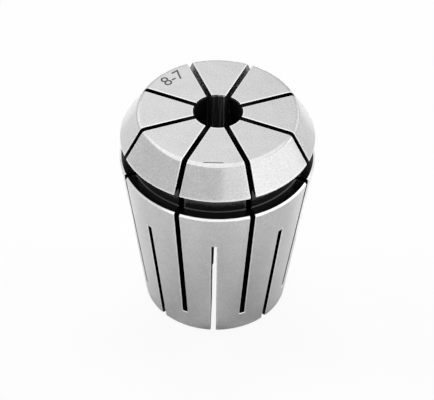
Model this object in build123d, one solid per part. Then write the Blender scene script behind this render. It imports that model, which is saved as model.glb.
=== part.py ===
from build123d import *
import os
from math import cos, radians, sin, tan

# Spring collet for a tapered collet chuck: one piece of hardened spring steel, turned and ground
# all over, then slit from both ends in turn, so that its leaves close evenly on a round shank.
# Millimetres. The origin is on the axis at the rear face, and +Z runs towards the clamping nut.

# Overall size
length = 40.0
largest_diameter = 33.0

# Body: the long taper that seats in the chuck's socket
body_half_angle = 8.0
shoulder_height = 30.65
shoulder_edge_break = 0.35
rear_edge_break = 0.3

# Head: the short cone that the nut presses on
head_half_angle = 30.0
head_base_height = 34.65
head_diameter = 32.75
head_land = 0.2
head_round = 0.9

# Groove that the nut's ring hooks into, to pull the collet out
groove_diameter = 29.0
groove_corner_radius = 0.3

# Bore that grips the shank
bore_diameter = 8.0
bore_edge_break = 0.2

# Slots, half of them from each end, with the edges of their mouths broken
slots_per_end = 8
slot_width = 0.9
front_slot_floor = 4.25
rear_slot_top = 23.6
slot_edge_break = 0.08

# Radii and heights that follow from these
bore_radius = bore_diameter / 2
groove_radius = groove_diameter / 2
head_radius = head_diameter / 2
body_taper = radians(body_half_angle)
head_taper = radians(head_half_angle)
cone_base_height = head_base_height + head_land
front_radius = head_radius - (length - cone_base_height) * tan(head_taper)
# The taper runs on past the largest diameter to a sharp corner, which the edge break takes off
shoulder_radius = largest_diameter / 2 + shoulder_edge_break * sin(body_taper)
rear_radius = shoulder_radius - shoulder_height * tan(body_taper)

# How far the cutting shapes reach past the metal
clearance = 1.0


def half_section(inner_radius, inset=0.0):
    """The turned outline from inner_radius outwards, drawn in by inset all round."""
    corners = {
        "rear": (rear_radius, 0),
        "shoulder": (shoulder_radius, shoulder_height),
        "groove_rear": (groove_radius, shoulder_height),
        "groove_front": (groove_radius, head_base_height),
        "head_base": (head_radius, head_base_height),
        "cone_base": (head_radius, cone_base_height),
        "front": (front_radius, length),
    }
    outline = Polyline((inner_radius, 0), *corners.values(), (inner_radius, length), close=True)
    section = make_face(outline)

    def corner(name):
        return section.vertices().sort_by_distance((*corners[name], 0))[:1]

    section = chamfer(corner("rear"), rear_edge_break)
    section = chamfer(corner("shoulder"), shoulder_edge_break)
    if inset:
        section = offset(section, -inset, kind=Kind.INTERSECTION)
    section = fillet(corner("groove_rear"), groove_corner_radius + inset)
    section = fillet(corner("groove_front"), groove_corner_radius + inset)
    return fillet(corner("front"), head_round - inset)


def turned_blank():
    """The collet before it is slit."""
    blank = revolve(Plane.XZ * half_section(bore_radius), Axis.Z)
    countersink = Cone(bore_radius + bore_edge_break, bore_radius, bore_edge_break)
    lower = Pos(0, 0, bore_edge_break / 2) * countersink
    upper = Pos(0, 0, length - bore_edge_break / 2) * Rot(180, 0, 0) * countersink
    return blank - lower - upper


def slot_cut(end_height, open_height):
    """What one slot takes away on the +X side, from its end to past the open face."""
    towards_end = 1 if end_height > open_height else -1
    end_radius = rear_radius + end_height * tan(body_taper) - slot_edge_break / cos(body_taper)
    outside = end_radius + 4 * clearance
    reach = Polyline(
        (0, open_height),
        (0, end_height),
        (end_radius, end_height),
        (outside, end_height + towards_end * (outside - end_radius)),
        (outside, open_height),
        close=True,
    )
    profile = make_face(reach)
    saw_cut = extrude(Plane.XZ * profile, slot_width / 2, both=True)
    sunk = profile - half_section(-clearance, slot_edge_break)
    flush = profile - half_section(-clearance)
    wall = slot_width / 2
    edge = wall + slot_edge_break
    breaks = [
        loft([Plane.XZ.offset(side * wall) * sunk, Plane.XZ.offset(side * edge) * flush], ruled=True)
        for side in (-1, 1)
    ]
    return [saw_cut, *breaks]


def ring_of(cuts, first_angle):
    places = PolarLocations(0, slots_per_end, start_angle=first_angle)
    return [place * cut for place in places for cut in cuts]


def slit_collet():
    half_pitch = 180 / slots_per_end
    front_cuts = ring_of(slot_cut(front_slot_floor, length + clearance), half_pitch)
    rear_cuts = ring_of(slot_cut(rear_slot_top, -clearance), 0)
    return turned_blank() - front_cuts - rear_cuts


if __name__ == "__main__":
    collet = slit_collet()
    os.makedirs("parts", exist_ok=True)
    export_step(collet, "parts/collet.step")
    print("volume", round(collet.volume), "mm3, front face radius", round(front_radius, 2))
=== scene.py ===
from math import cos, hypot, pi, radians, sin, tan

import bmesh
import bpy
from mathutils import Matrix, Vector


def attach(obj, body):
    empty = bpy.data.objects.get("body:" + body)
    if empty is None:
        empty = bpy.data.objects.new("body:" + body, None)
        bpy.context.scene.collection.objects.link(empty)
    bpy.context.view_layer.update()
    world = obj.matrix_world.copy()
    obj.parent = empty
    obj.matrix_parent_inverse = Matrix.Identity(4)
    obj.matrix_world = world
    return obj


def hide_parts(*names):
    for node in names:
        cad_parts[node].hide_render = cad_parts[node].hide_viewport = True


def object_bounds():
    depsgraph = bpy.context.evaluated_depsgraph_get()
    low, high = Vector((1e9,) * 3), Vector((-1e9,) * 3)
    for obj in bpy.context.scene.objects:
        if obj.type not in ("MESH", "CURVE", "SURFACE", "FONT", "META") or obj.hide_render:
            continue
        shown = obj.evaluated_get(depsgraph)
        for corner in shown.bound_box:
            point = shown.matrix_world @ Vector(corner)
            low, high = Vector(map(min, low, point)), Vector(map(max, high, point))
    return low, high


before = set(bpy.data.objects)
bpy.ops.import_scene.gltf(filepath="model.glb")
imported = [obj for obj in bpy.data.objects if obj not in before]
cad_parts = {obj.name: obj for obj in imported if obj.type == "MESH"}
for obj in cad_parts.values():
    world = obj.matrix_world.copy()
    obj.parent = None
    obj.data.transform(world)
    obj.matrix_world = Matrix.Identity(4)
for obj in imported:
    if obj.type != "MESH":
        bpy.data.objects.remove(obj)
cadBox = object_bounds()
print("frame loaded")

mm = 0.001
slack = 0.01 * mm  # two heights or radii nearer than this count as the same

# the collet: one steel piece, turned, slit from both ends, blackened, then ground on its outside
collet = {
    "facets": 128,
    "length": cadBox[1].z - cadBox[0].z,
    "largestRadius": cadBox[1].x,
    "bodyHalfAngle": radians(8),
    "rearBreak": 0.3 * mm,
    "shoulderHeight": 30.65 * mm,
    "shoulderBreak": 0.35 * mm,
    "grooveRadius": 14.5 * mm,
    "grooveRound": 0.3 * mm,
    "grooveSteps": 5,
    "headBaseHeight": 34.65 * mm,
    "headRadius": 16.375 * mm,
    "headLand": 0.2 * mm,
    "headHalfAngle": radians(30),
    "headRound": 0.9 * mm,
    "headSteps": 6,
    "boreRadius": 4.0 * mm,
    "boreBreak": 0.2 * mm,
    "slotsPerEnd": 8,
    "slotWidth": 0.9 * mm,
    "frontSlotFloor": 4.25 * mm,
    "rearSlotTop": 23.6 * mm,
    "slotBreak": 0.08 * mm,
    "bladeLength": 36.3 * mm,
    "bladeOvershoot": 1 * mm,
    "smoothUpTo": radians(28),
}

# which of the collet's finishes lies in which material slot
groundFinish, blackFinish, grooveFinish, boreFinish, edgeFinish = range(5)


def deselectAll():
    if bpy.context.object and bpy.context.object.mode != "OBJECT":
        bpy.ops.object.mode_set(mode="OBJECT")
    bpy.ops.object.select_all(action="DESELECT")


def activate(piece):
    deselectAll()
    piece.select_set(True)
    bpy.context.view_layer.objects.active = piece


def pickEdges(piece, wanted):
    # leaves the piece in edit mode, with just the wanted edges selected
    activate(piece)
    bpy.ops.object.mode_set(mode="EDIT")
    bpy.ops.mesh.select_mode(type="EDGE")
    bpy.ops.mesh.select_all(action="DESELECT")
    work = bmesh.from_edit_mesh(piece.data)
    for edge in work.edges:
        edge.select_set(wanted(edge))
    bmesh.update_edit_mesh(piece.data)
    return sum(edge.select for edge in work.edges)


def ringAt(radius, height):
    def wanted(edge):
        return all(
            abs(hypot(vert.co.x, vert.co.y) - radius) < slack and abs(vert.co.z - height) < slack
            for vert in edge.verts
        )
    return wanted


def applyModifier(piece, kind, **settings):
    activate(piece)
    bpy.ops.object.modifier_add(type=kind)
    modifier = piece.modifiers[-1]
    for name, value in settings.items():
        setattr(modifier, name, value)
    bpy.ops.object.modifier_apply(modifier=modifier.name)


def turnBlank(sizes):
    # one ring of the lathe profile after another, from the rear face up and back down the bore
    shoulderRadius = sizes["largestRadius"] + sizes["shoulderBreak"] * sin(sizes["bodyHalfAngle"])
    rearRadius = shoulderRadius - sizes["shoulderHeight"] * tan(sizes["bodyHalfAngle"])
    coneBase = sizes["headBaseHeight"] + sizes["headLand"]
    frontRadius = sizes["headRadius"] - (sizes["length"] - coneBase) * tan(sizes["headHalfAngle"])
    boreMouth = sizes["boreRadius"] + sizes["boreBreak"]
    rings = [
        (rearRadius, 0),
        (shoulderRadius, sizes["shoulderHeight"]),
        (sizes["grooveRadius"], sizes["shoulderHeight"]),
        (sizes["grooveRadius"], sizes["headBaseHeight"]),
        (sizes["headRadius"], sizes["headBaseHeight"]),
        (sizes["headRadius"], coneBase),
        (frontRadius, sizes["length"]),
        (boreMouth, sizes["length"]),
        (sizes["boreRadius"], sizes["length"] - sizes["boreBreak"]),
        (sizes["boreRadius"], sizes["boreBreak"]),
        (boreMouth, 0),
    ]
    deselectAll()
    bpy.ops.mesh.primitive_circle_add(vertices=sizes["facets"], radius=rings[0][0])
    blank = bpy.context.object
    blank.name = "colletBody"
    bpy.ops.object.mode_set(mode="EDIT")
    bpy.ops.mesh.select_mode(type="EDGE")
    bpy.ops.mesh.select_all(action="SELECT")
    for (radius, height), (nextRadius, nextHeight) in zip(rings, rings[1:]):
        bpy.ops.mesh.extrude_edges_move()
        bpy.ops.transform.translate(value=(0, 0, nextHeight - height))
        grow = nextRadius / radius
        bpy.ops.transform.resize(value=(grow, grow, 1), center_override=(0, 0, 0))
    pickEdges(blank, lambda edge: ringAt(*rings[0])(edge) or ringAt(*rings[-1])(edge))
    bpy.ops.mesh.bridge_edge_loops()

    # each softened ring has its reach along the two faces and its number of steps
    frontTurn = pi / 2 - sizes["headHalfAngle"]
    softened = [
        (rings[0], sizes["rearBreak"], 1),
        (rings[1], sizes["shoulderBreak"], 1),
        (rings[2], sizes["grooveRound"], sizes["grooveSteps"]),
        (rings[3], sizes["grooveRound"], sizes["grooveSteps"]),
        (rings[6], sizes["headRound"] * tan(frontTurn / 2), sizes["headSteps"]),
    ]
    for ring, reach, steps in softened:
        pickEdges(blank, ringAt(*ring))
        bpy.ops.mesh.bevel(offset=reach, offset_type="OFFSET", segments=steps, profile=0.5)
    bpy.ops.mesh.select_all(action="SELECT")
    bpy.ops.mesh.normals_make_consistent(inside=False)
    bpy.ops.object.mode_set(mode="OBJECT")
    return blank


def blackenHollows(blank, sizes):
    # grinding the outside leaves the black finish in the bore and the pull-out groove
    shoulder = sizes["largestRadius"] - sizes["shoulderBreak"] / 2
    low, high = sizes["shoulderHeight"] - slack, sizes["headBaseHeight"] + slack
    for face in blank.data.polygons:
        radius = face.center.xy.length
        inBore = radius < sizes["boreRadius"] + sizes["boreBreak"]
        inGroove = low < face.center.z < high and radius < shoulder
        face.material_index = boreFinish if inBore else grooveFinish if inGroove else groundFinish


def sawSlots(blank, finishes, sizes):
    # each blade passes right through the axis, so it cuts two slots that face each other
    past = sizes["bladeOvershoot"]
    pitch = 2 * pi / sizes["slotsPerEnd"]
    cuts = [
        ("front", pitch / 2, sizes["frontSlotFloor"], sizes["length"] + past),
        ("rear", 0, -past, sizes["rearSlotTop"]),
    ]
    for end, firstAngle, bottom, top in cuts:
        for index in range(sizes["slotsPerEnd"] // 2):
            deselectAll()
            bpy.ops.mesh.primitive_cube_add(size=1)
            blade = bpy.context.object
            blade.name = f"{end}Blade{index}"
            blade.scale = (sizes["bladeLength"], sizes["slotWidth"], top - bottom)
            blade.location = (0, 0, (top + bottom) / 2)
            blade.rotation_euler = (0, 0, firstAngle + index * pitch)
            bpy.ops.object.transform_apply(location=True, rotation=True, scale=True)
            for finish in finishes:
                blade.data.materials.append(finish)
            for face in blade.data.polygons:
                face.material_index = blackFinish
            applyModifier(blank, "BOOLEAN", operation="DIFFERENCE", solver="EXACT", object=blade)
            bpy.data.objects.remove(blade)


def breakSlotEdges(piece, sizes):
    # where a black slot meets a ground face or the groove's floor, but not down in the bore
    wall = sizes["slotWidth"] / 2 + slack / 2
    boreMouth = sizes["boreRadius"] + sizes["boreBreak"]
    floors = (sizes["frontSlotFloor"], sizes["rearSlotTop"])
    level, upright, square = 0.99, 0.01, 0.001  # limits on how far a normal leans
    halfPitch = pi / sizes["slotsPerEnd"]
    turns = [turn * halfPitch for turn in range(2 * sizes["slotsPerEnd"])]
    directions = [Vector((cos(turn), sin(turn))) for turn in turns]

    def liesAlong(face, direction):
        return abs(face.normal.xy.dot(direction)) < square and all(
            abs(vert.co.x * direction.y - vert.co.y * direction.x) < wall for vert in face.verts
        )

    def isSlotFace(face):
        if abs(face.normal.z) > level:
            return any(abs(face.calc_center_median().z - height) < slack for height in floors)
        onWall = any(liesAlong(face, direction) for direction in directions)
        return onWall and abs(face.normal.z) < upright

    def wanted(edge):
        middle = (edge.verts[0].co + edge.verts[1].co) / 2
        outside = middle.xy.length > boreMouth - sizes["boreBreak"] / 2
        onShoulder = all(abs(vert.co.z - sizes["shoulderHeight"]) < slack for vert in edge.verts)
        slotSides = sum(map(isSlotFace, edge.link_faces))
        return outside and not onShoulder and len(edge.link_faces) == 2 and slotSides == 1

    found = pickEdges(piece, wanted)
    bpy.ops.mesh.bevel(
        offset=sizes["slotBreak"], offset_type="OFFSET", segments=1,
        clamp_overlap=False, material=edgeFinish,
    )
    bpy.ops.object.mode_set(mode="OBJECT")
    for face in piece.data.polygons:
        if face.material_index == edgeFinish:
            if sizes["shoulderHeight"] < face.center.z < sizes["headBaseHeight"]:
                face.material_index = grooveFinish
            elif face.center.xy.length < boreMouth:
                face.material_index = blackFinish
    return found


def newFinish(name):
    material = bpy.data.materials.new(name)
    material.use_nodes = True
    tree = material.node_tree
    return material, tree, tree.nodes["Principled BSDF"].inputs


def addNode(tree, kind, **settings):
    node = tree.nodes.new("ShaderNode" + kind)
    for name, value in settings.items():
        setattr(node, name, value)
    return node


def feed(tree, socket, value):
    # the value is a number, a colour or another node's output
    if isinstance(value, bpy.types.NodeSocket):
        tree.links.new(value, socket)
    else:
        socket.default_value = value


def addMath(tree, operation, *values):
    node = addNode(tree, "Math", operation=operation)
    for socket, value in zip(node.inputs, values):
        feed(tree, socket, value)
    return node.outputs["Value"]


def addNoise(tree, vector, scale, detail, rough):
    noise = addNode(tree, "TexNoise")
    feed(tree, noise.inputs["Vector"], vector)
    feed(tree, noise.inputs["Scale"], scale)
    feed(tree, noise.inputs["Detail"], detail)
    feed(tree, noise.inputs["Roughness"], rough)
    return noise.outputs["Fac"]


def addRange(tree, value, becomes, over=(0, 1)):
    spread = addNode(tree, "MapRange")
    feed(tree, spread.inputs["Value"], value)
    for name, number in zip(("From Min", "From Max", "To Min", "To Max"), (*over, *becomes)):
        feed(tree, spread.inputs[name], number)
    return spread.outputs["Result"]


def addRamp(tree, value, over, dark, pale):
    ramp = addNode(tree, "ValToRGB")
    for element, position, colour in zip(ramp.color_ramp.elements, over, (dark, pale)):
        element.position = position
        element.color = colour
    feed(tree, ramp.inputs["Fac"], value)
    return ramp.outputs["Color"]


def addMix(tree, share, first, second):
    mix = addNode(tree, "Mix", data_type="RGBA")
    feed(tree, mix.inputs["Factor"], share)
    feed(tree, mix.inputs["A"], first)
    feed(tree, mix.inputs["B"], second)
    return mix.outputs["Result"]


def mixTones(tree, *shares):
    total = None
    for tone, share in shares:
        part = addMath(tree, "MULTIPLY", tone, share)
        total = part if total is None else addMath(tree, "ADD", total, part)
    return total


def addBump(tree, shader, height, look):
    bump = addNode(tree, "Bump")
    feed(tree, bump.inputs["Strength"], look["bumpStrength"])
    feed(tree, bump.inputs["Distance"], look["bumpHeight"])
    feed(tree, bump.inputs["Height"], height)
    feed(tree, shader["Normal"], bump.outputs["Normal"])


def placeOnPiece(tree):
    return addNode(tree, "TexCoord").outputs["Object"]


def partsOf(tree, vector):
    parts = addNode(tree, "SeparateXYZ")
    feed(tree, parts.inputs["Vector"], vector)
    return parts.outputs["X"], parts.outputs["Y"], parts.outputs["Z"]


def joinParts(tree, *parts):
    whole = addNode(tree, "CombineXYZ")
    for socket, part in zip(whole.inputs, parts):
        feed(tree, socket, part)
    return whole.outputs["Vector"]


def radiusOf(tree, x, y):
    length = addNode(tree, "VectorMath", operation="LENGTH")
    feed(tree, length.inputs[0], joinParts(tree, x, y))
    return length.outputs["Value"]


def latheCoordinates(tree, place, along):
    # a pattern on these runs round the axis, as grinding marks do, and drifts slowly on the way
    x, y, z = partsOf(tree, place)
    outwards = addMath(tree, "SUBTRACT", z, radiusOf(tree, x, y))
    drifting = [addMath(tree, "MULTIPLY", part, along) for part in (x, y)]
    return joinParts(tree, outwards, *drifting)


def distanceToSlots(tree, radius, angle, z, firstAngle, low, high, sizes):
    # folds all the slots of one end onto one, then measures how far off its walls and floor are
    pitch = 2 * pi / sizes["slotsPerEnd"]
    turned = addMath(tree, "ADD", angle, pitch / 2 - firstAngle)
    folded = addMath(tree, "FLOORED_MODULO", turned, pitch)
    folded = addMath(tree, "SUBTRACT", folded, pitch / 2)
    aside = addMath(tree, "MULTIPLY", radius, addMath(tree, "SINE", folded))
    aside = addMath(tree, "ABSOLUTE", aside)
    aside = addMath(tree, "SUBTRACT", aside, sizes["slotWidth"] / 2)
    aside = addMath(tree, "MAXIMUM", aside, 0)
    below = addMath(tree, "SUBTRACT", low, z)
    above = addMath(tree, "SUBTRACT", z, high)
    beyond = addMath(tree, "MAXIMUM", addMath(tree, "MAXIMUM", below, above), 0)
    asideSquared = addMath(tree, "MULTIPLY", aside, aside)
    beyondSquared = addMath(tree, "MULTIPLY", beyond, beyond)
    return addMath(tree, "SQRT", addMath(tree, "ADD", asideSquared, beyondSquared))


def distanceToEdges(tree, place, look, sizes):
    # to the nearest edge of a slot, of the groove or of the bore's mouth
    x, y, z = partsOf(tree, place)
    radius, angle = radiusOf(tree, x, y), addMath(tree, "ARCTAN2", y, x)
    halfPitch = pi / sizes["slotsPerEnd"]
    boreMouth = sizes["boreRadius"] + sizes["boreBreak"]
    shoulderEdge = sizes["shoulderHeight"] - sizes["shoulderBreak"] / 2
    frontSlots = (halfPitch, sizes["frontSlotFloor"], sizes["length"])
    rearSlots = (0, 0, sizes["rearSlotTop"])
    distances = [
        distanceToSlots(tree, radius, angle, z, *frontSlots, sizes),
        distanceToSlots(tree, radius, angle, z, *rearSlots, sizes),
        addMath(tree, "SUBTRACT", radius, boreMouth),
    ]
    for height, share in ((sizes["headBaseHeight"], look["headEdgeShare"]), (shoulderEdge, 1)):
        gap = addMath(tree, "ABSOLUTE", addMath(tree, "SUBTRACT", z, height))
        distances.append(addMath(tree, "MULTIPLY", gap, share))
    nearest = distances[0]
    for distance in distances[1:]:
        nearest = addMath(tree, "MINIMUM", nearest, distance)
    return nearest


# ground steel: fine marks round the axis, a faint mottle, and a painted highlight that makes the
# edges paler
groundSteel = {
    "dark": (0.6, 0.593, 0.595, 1),
    "pale": (0.75, 0.743, 0.745, 1),
    "edgeHighlight": (0.93, 0.925, 0.925, 1),
    "toneRange": (0.35, 0.65),
    "roughness": (0.16, 0.24),
    "grinding": {"scale": 9000, "detail": 4, "rough": 0.6},
    "grindingDrift": 0.03,
    "grindingShare": 0.25,
    "mottle": {"scale": 420, "detail": 4, "rough": 0.6},
    "mottleShare": 0.25,
    "specks": {"scale": 3400, "detail": 1, "rough": 0.5},
    "speckShare": 0.5,
    "bumpStrength": 0.25,
    "bumpHeight": 0.0012 * mm,
    "edgeHighlightRange": (0.09 * mm, 0.24 * mm),
    "edgeHighlightStrength": (0.7, 1),
    "edgeHighlightSpecks": (0.3, 0.6),
    "headEdgeShare": 0.55,  # under 1 makes the painted highlight line along the head's base wider
}


def makeGroundSteel(look, sizes):
    material, tree, shader = newFinish("groundSteel")
    place = placeOnPiece(tree)
    rings = latheCoordinates(tree, place, look["grindingDrift"])
    grinding = addNoise(tree, rings, **look["grinding"])
    mottle = addNoise(tree, place, **look["mottle"])
    specks = addNoise(tree, place, **look["specks"])
    shares = (look["mottleShare"], look["speckShare"], look["grindingShare"])
    tone = mixTones(tree, *zip((mottle, specks, grinding), shares))
    steel = addRamp(tree, tone, look["toneRange"], look["dark"], look["pale"])
    distance = distanceToEdges(tree, place, look, sizes)
    # painted highlight: the base colour turns paler near the edges of the slots, the groove, the
    # shoulder, the bore's mouth and the head's base
    edgeHighlight = addRange(tree, distance, (1, 0), look["edgeHighlightRange"])
    patchy = addRange(tree, specks, look["edgeHighlightStrength"], look["edgeHighlightSpecks"])
    edgeHighlight = addMath(tree, "MULTIPLY", edgeHighlight, patchy)
    feed(tree, shader["Base Color"], addMix(tree, edgeHighlight, steel, look["edgeHighlight"]))
    feed(tree, shader["Roughness"], addRange(tree, tone, look["roughness"], look["toneRange"]))
    feed(tree, shader["Metallic"], 1)
    addBump(tree, shader, grinding, look)
    return material


# the black finish of the slots: faintly pitted, polished further out and matt near the bore
blackOxide = {
    "name": "blackOxide",
    "dark": (0.0004, 0.0004, 0.0004, 1),
    "pale": (0.0025, 0.0024, 0.0025, 1),
    "toneRange": (0.38, 0.68),
    "roughness": (0.14, 0.24),
    "polishRange": (0.35, 0.65),
    "indexOfRefraction": 1.52,
    "streaks": {"scale": 4200, "detail": 3, "rough": 0.5},
    "streakStretch": 0.6,
    "streakShare": 0.75,
    "mottle": {"scale": 900, "detail": 5, "rough": 0.6},
    "mottleShare": 0.25,
    "bumpStrength": 0.3,
    "bumpHeight": 0.003 * mm,
    "mattRoughness": 0.8,
    "mattRange": (5.6 * mm, 7.2 * mm),
}

# the groove has it on coarser turned steel, so it glints in specks
blackGroove = {
    **blackOxide,
    "name": "blackGroove",
    "indexOfRefraction": 1.6,
    "streaks": {"scale": 3600, "detail": 3, "rough": 0.5},
    "bumpHeight": 0.15 * mm,
}

# the bore has it too, and its rearmost leaf, which faces the front, is painted pale in upright
# streaks like scratches: a painted highlight
blackBore = {
    **blackOxide,
    "name": "blackBore",
    "dark": (0.003, 0.003, 0.003, 1),
    "pale": (0.009, 0.009, 0.009, 1),
    "roughness": (0.3, 0.4),
    "indexOfRefraction": 1.3,
    "streaks": {"scale": 3000, "detail": 3, "rough": 0.5},
    "streakStretch": 0.015,
    "bumpHeight": 0.0015 * mm,
    "mattRoughness": 0.45,
    "leafHighlightEdge": (0.915, 0.93),
    "leafHighlightDark": (0.13, 0.127, 0.13, 1),
    "leafHighlightPale": (0.9, 0.88, 0.885, 1),
    "leafHighlightRange": (0.46, 0.58),
}


def makeBlackFinish(look):
    material, tree, shader = newFinish(look["name"])
    place = placeOnPiece(tree)
    x, y, z = partsOf(tree, place)
    radius = radiusOf(tree, x, y)
    stretch = addNode(tree, "Mapping")
    feed(tree, stretch.inputs["Scale"], (1, 1, look["streakStretch"]))
    feed(tree, stretch.inputs["Vector"], place)
    streaks = addNoise(tree, stretch.outputs["Vector"], **look["streaks"])
    mottle = addNoise(tree, place, **look["mottle"])
    tone = mixTones(tree, (streaks, look["streakShare"]), (mottle, look["mottleShare"]))
    colour = addRamp(tree, tone, look["toneRange"], look["dark"], look["pale"])
    matt = addRange(tree, radius, (look["mattRoughness"], 0), look["mattRange"])
    # painted highlight: the bore's rear leaf, facing the front, gets a pale streaked base colour
    if "leafHighlightEdge" in look:
        behind = addMath(tree, "DIVIDE", y, radius)
        leafHighlight = addRamp(tree, streaks, look["leafHighlightRange"], look["leafHighlightDark"], look["leafHighlightPale"])
        colour = addMix(tree, addRange(tree, behind, (0, 1), look["leafHighlightEdge"]), colour, leafHighlight)
        matt = addRange(tree, behind, (look["mattRoughness"], 0), look["leafHighlightEdge"])
    polish = addRange(tree, tone, look["roughness"], look["polishRange"])
    feed(tree, shader["Base Color"], colour)
    feed(tree, shader["Roughness"], addMath(tree, "MAXIMUM", polish, matt))
    feed(tree, shader["IOR"], look["indexOfRefraction"])
    addBump(tree, shader, tone, look)
    return material


# the broken edges of the slots, given a paler base colour than the faces beside them: a painted
# highlight
brightEdge = {
    "dark": (0.86, 0.855, 0.855, 1),
    "pale": (0.95, 0.945, 0.945, 1),
    "toneRange": (0.35, 0.65),
    "roughness": (0.22, 0.34),
    "wearAndSheen": {"scale": 1500, "detail": 4, "rough": 0.6},
}


def makeBrightEdge(look):
    material, tree, shader = newFinish("brightEdge")
    wearAndSheen = addNoise(tree, placeOnPiece(tree), **look["wearAndSheen"])
    # painted highlight: a pale base colour on the edge breaks, varied at random
    colour = addRamp(tree, wearAndSheen, look["toneRange"], look["dark"], look["pale"])
    feed(tree, shader["Base Color"], colour)
    feed(tree, shader["Roughness"], addRange(tree, wearAndSheen, look["roughness"], look["toneRange"]))
    feed(tree, shader["Metallic"], 1)
    return material


finishes = [
    makeGroundSteel(groundSteel, collet),
    makeBlackFinish(blackOxide),
    makeBlackFinish(blackGroove),
    makeBlackFinish(blackBore),
    makeBrightEdge(brightEdge),
]
print("finishes mixed")

blank = turnBlank(collet)
for finish in finishes:
    blank.data.materials.append(finish)
blackenHollows(blank, collet)
print("blank turned,", len(blank.data.polygons), "faces")
sawSlots(blank, finishes, collet)
print("slots sawn,", len(blank.data.polygons), "faces")
print("slot edges broken,", breakSlotEdges(blank, collet), "edges")
activate(blank)
bpy.ops.object.shade_smooth_by_angle(angle=collet["smoothUpTo"])
applyModifier(blank, "WEIGHTED_NORMAL", keep_sharp=True, weight=50)
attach(blank, "root")
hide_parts("collet")

# the clamping range in millimetres, etched on the front face, and a fine line by its edge
marks = {
    "words": "8-7",
    "height": 2.25 * mm,
    "heightInFont": 0.7,  # a digit's height as a share of the font's size
    "curveSteps": 4,
    "centre": (-7.85 * mm, 8.1 * mm),
    "turn": radians(43),
    "proud": 0.012 * mm,
    "weld": 0.002 * mm,
    "lineMiddle": (-0.42 * mm, -12.72 * mm),
    "lineSize": (3.3 * mm, 0.16 * mm),
    "lineTurn": radians(1),
    "dark": (0.02, 0.02, 0.02, 1),
    "pale": (0.16, 0.16, 0.16, 1),
    "toneRange": (0.4, 0.7),
    "roughness": (0.45, 0.7),
    "wearAndSheen": {"scale": 2600, "detail": 4, "rough": 0.65},
}


def makeEtchedInk(look):
    material, tree, shader = newFinish("etchedMark")
    wearAndSheen = addNoise(tree, placeOnPiece(tree), **look["wearAndSheen"])
    colour = addRamp(tree, wearAndSheen, look["toneRange"], look["dark"], look["pale"])
    feed(tree, shader["Base Color"], colour)
    feed(tree, shader["Roughness"], addRange(tree, wearAndSheen, look["roughness"]))
    return material


def settleMark(mark, centre, turn, ink):
    # onto the front face, half sunk into it
    mark.location = (*centre, collet["length"])
    mark.rotation_euler = (0, 0, turn)
    bpy.ops.object.transform_apply(location=True, rotation=True, scale=True)
    mark.data.materials.clear()
    mark.data.materials.append(ink)
    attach(mark, "root")


ink = makeEtchedInk(marks)
deselectAll()
bpy.ops.object.text_add()
words = bpy.context.object
words.name = "etchedNumbers"
words.data.body = marks["words"]
words.data.align_x = "CENTER"
words.data.align_y = "CENTER"
words.data.size = marks["height"] / marks["heightInFont"]
words.data.extrude = marks["proud"]
words.data.resolution_u = marks["curveSteps"]
bpy.ops.object.convert(target="MESH")
words = bpy.context.object
bpy.ops.object.mode_set(mode="EDIT")
bpy.ops.mesh.select_all(action="SELECT")
bpy.ops.mesh.remove_doubles(threshold=marks["weld"])
bpy.ops.mesh.normals_make_consistent(inside=False)
bpy.ops.object.mode_set(mode="OBJECT")
settleMark(words, marks["centre"], marks["turn"], ink)

deselectAll()
bpy.ops.mesh.primitive_cube_add(size=1)
fineLine = bpy.context.object
fineLine.name = "etchedLine"
fineLine.scale = (*marks["lineSize"], 2 * marks["proud"])
settleMark(fineLine, marks["lineMiddle"], marks["lineTurn"], ink)
print("front face marked")

# studio: a white floor under an even sky. The lamps light the floor and the black finishes, and the
# panels and the small cards on the floor are only mirrored in the steel.
# Angles are in degrees, and a place's angle is counted from the front towards the right.
studio = {
    "floorSize": 0.7,
    "floorDrop": 0.02 * mm,
    "floorTint": (0.9, 0.9, 0.9, 1),
    "floorRoughness": 0.9,
    "floorGloss": 0.1,
    "whiteSeen": 0.92,
    "whiteMirrored": 0.05,
    "skySeen": (1, 1, 1, 1),
    "skyMirrored": (0.73, 0.87),
    "skyRise": (0.36, 0.62),
    "skyFill": 0.045,
    # name, angle, distance, height, size, radiance
    "panels": [
        ("rightPanel", 60, 1.5, 0.42, (3.8, 1.18), 0.26),
        ("rightPanelCore", 72, 1.5, 0.3, (2.25, 0.94), 0.3),
        ("rightRimPanel", 126, 1.5, 0.5, (1.46, 0.74), 0.4),
        ("leftRimPanel", -130, 1.5, 0.73, (1.2, 0.76), 0.3),
        ("backPanel", -153, 1.1, 1.0, (1.1, 1.1), 0.2),
        ("overheadPanel", 0, 0.25, 1.5, (3.6, 2.7), 0.4),
    ],
    "cards": [
        ("backCard", 180, 70 * mm, 0.5 * mm, (130 * mm, 50 * mm), 0.17),
        ("leftCard", -135, 27 * mm, 0.5 * mm, (12 * mm, 18 * mm), 0.22),
        ("rightCard", 135, 27 * mm, 0.5 * mm, (12 * mm, 18 * mm), 0.22),
    ],
    # name, angle, elevation, size, share of the brightness of a plain white floor
    "lamps": [
        ("leftLamp", -110, 30, 0.7, 0.264),
        ("rightLamp", 110, 30, 0.7, 0.188),
        ("backLamp", 180, 60, 1.1, 0.51),
        ("frontLamp", 0, 58, 0.5, 0.024),
    ],
    "lampDistance": 1.6,
}


def around(angle, distance, height):
    return Vector((distance * sin(radians(angle)), -distance * cos(radians(angle)), height))


def addAreaLamp(name, place, target, size, radiance):
    deselectAll()
    aim = (place - target).to_track_quat("Z", "Y").to_euler()
    bpy.ops.object.light_add(type="AREA", location=place, rotation=aim)
    lamp = bpy.context.object
    lamp.name = name
    lamp.data.shape = "RECTANGLE"
    lamp.data.size, lamp.data.size_y = size
    lamp.data.energy = radiance * pi * size[0] * size[1]
    return lamp


def seenDirectly(tree, rays):
    return addMath(tree, "MAXIMUM", rays["Is Camera Ray"], rays["Is Transmission Ray"])


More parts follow.
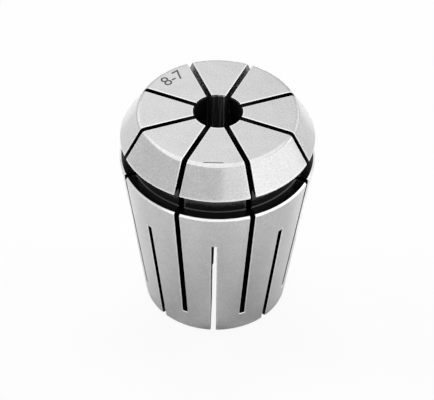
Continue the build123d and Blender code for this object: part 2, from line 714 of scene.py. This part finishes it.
def makeFloor(look):
    # plain white to the camera but for the object's shade, and mirrored in the steel as it is lit
    deselectAll()
    bpy.ops.mesh.primitive_plane_add(size=look["floorSize"], location=(0, 0, -look["floorDrop"]))
    floor = bpy.context.object
    floor.name = "floor"
    material, tree, shader = newFinish("paperFloor")
    feed(tree, shader["Base Color"], look["floorTint"])
    feed(tree, shader["Roughness"], look["floorRoughness"])
    feed(tree, shader["Specular IOR Level"], look["floorGloss"])
    rays = addNode(tree, "LightPath").outputs
    seen = addMath(tree, "MULTIPLY", seenDirectly(tree, rays), look["whiteSeen"])
    mirrored = addMath(tree, "MULTIPLY", rays["Is Glossy Ray"], look["whiteMirrored"])
    mix = addNode(tree, "MixShader")
    feed(tree, mix.inputs["Fac"], addMath(tree, "ADD", seen, mirrored))
    feed(tree, mix.inputs[1], tree.nodes["Principled BSDF"].outputs["BSDF"])
    feed(tree, mix.inputs[2], addNode(tree, "Emission").outputs["Emission"])
    feed(tree, tree.nodes["Material Output"].inputs["Surface"], mix.outputs["Shader"])
    floor.data.materials.append(material)


def makeSky(look):
    # plain white to the camera, mirrored paler towards the top, and a faint fill for the rest
    sky = bpy.data.worlds.new("studioSky")
    bpy.context.scene.world = sky
    sky.use_nodes = True
    tree = sky.node_tree
    x, y, z = partsOf(tree, addNode(tree, "TexCoord").outputs["Generated"])
    rays = addNode(tree, "LightPath").outputs
    seen = seenDirectly(tree, rays)
    mirrored = addRange(tree, z, look["skyMirrored"], look["skyRise"])
    mirrored = addMath(tree, "MULTIPLY", rays["Is Glossy Ray"], mirrored)
    rest = addMath(tree, "SUBTRACT", 1, addMath(tree, "MAXIMUM", seen, rays["Is Glossy Ray"]))
    rest = addMath(tree, "MULTIPLY", rest, look["skyFill"])
    strength = addMath(tree, "ADD", addMath(tree, "ADD", seen, mirrored), rest)
    background = tree.nodes["Background"].inputs
    feed(tree, background["Color"], look["skySeen"])
    feed(tree, background["Strength"], strength)


makeFloor(studio)
makeSky(studio)
middle = Vector((0, 0, collet["length"] / 2))
for name, angle, distance, height, size, radiance in studio["panels"]:
    # mirrored in the steel, but casting no light on the floor
    panel = addAreaLamp(name, around(angle, distance, height), middle, size, radiance)
    panel.visible_diffuse = False
for name, angle, distance, height, size, radiance in studio["cards"]:
    # the same, lying just over the floor and facing up
    place = around(angle, distance, height)
    card = addAreaLamp(name, place, place + Vector((0, 0, 1)), size, radiance)
    card.visible_diffuse = False
    card.visible_camera = False
for name, angle, elevation, size, share in studio["lamps"]:
    distance, rise = studio["lampDistance"], radians(elevation)
    place = around(angle, distance * cos(rise), distance * sin(rise))
    radiance = share * pi / ((size / distance) ** 2 * sin(rise))
    lamp = addAreaLamp(name, place, middle, (size, size), radiance)
    lamp.visible_glossy = False
print("studio lit")

# the camera: where it stands, how it is turned, and how far its aim lies from the collet's middle
view = {
    "azimuth": radians(0.969),
    "elevation": radians(43.28),
    "roll": radians(0.955),
    "distance": 383.0 * mm,
    "lens": 184.69,
    "sensorWidth": 36,
    "nearest": 10 * mm,
    "right": 0.0713 * mm,
    "down": 0.188 * mm,
}


def placeCamera(look):
    deselectAll()
    bpy.ops.object.camera_add()
    camera = bpy.context.object
    back = Vector((
        sin(look["azimuth"]) * cos(look["elevation"]),
        -cos(look["azimuth"]) * cos(look["elevation"]),
        sin(look["elevation"]),
    ))
    turned = back.to_track_quat("Z", "Y").to_matrix() @ Matrix.Rotation(look["roll"], 3, "Z")
    aim = middle + turned.col[0] * look["right"] - turned.col[1] * look["down"]
    camera.rotation_euler = turned.to_euler()
    camera.location = aim + back * look["distance"]
    camera.data.lens = look["lens"]
    camera.data.sensor_width = look["sensorWidth"]
    camera.data.clip_start = look["nearest"]
    bpy.context.scene.camera = camera


placeCamera(view)
bpy.context.scene.view_settings.view_transform = "Standard"
print("camera placed")
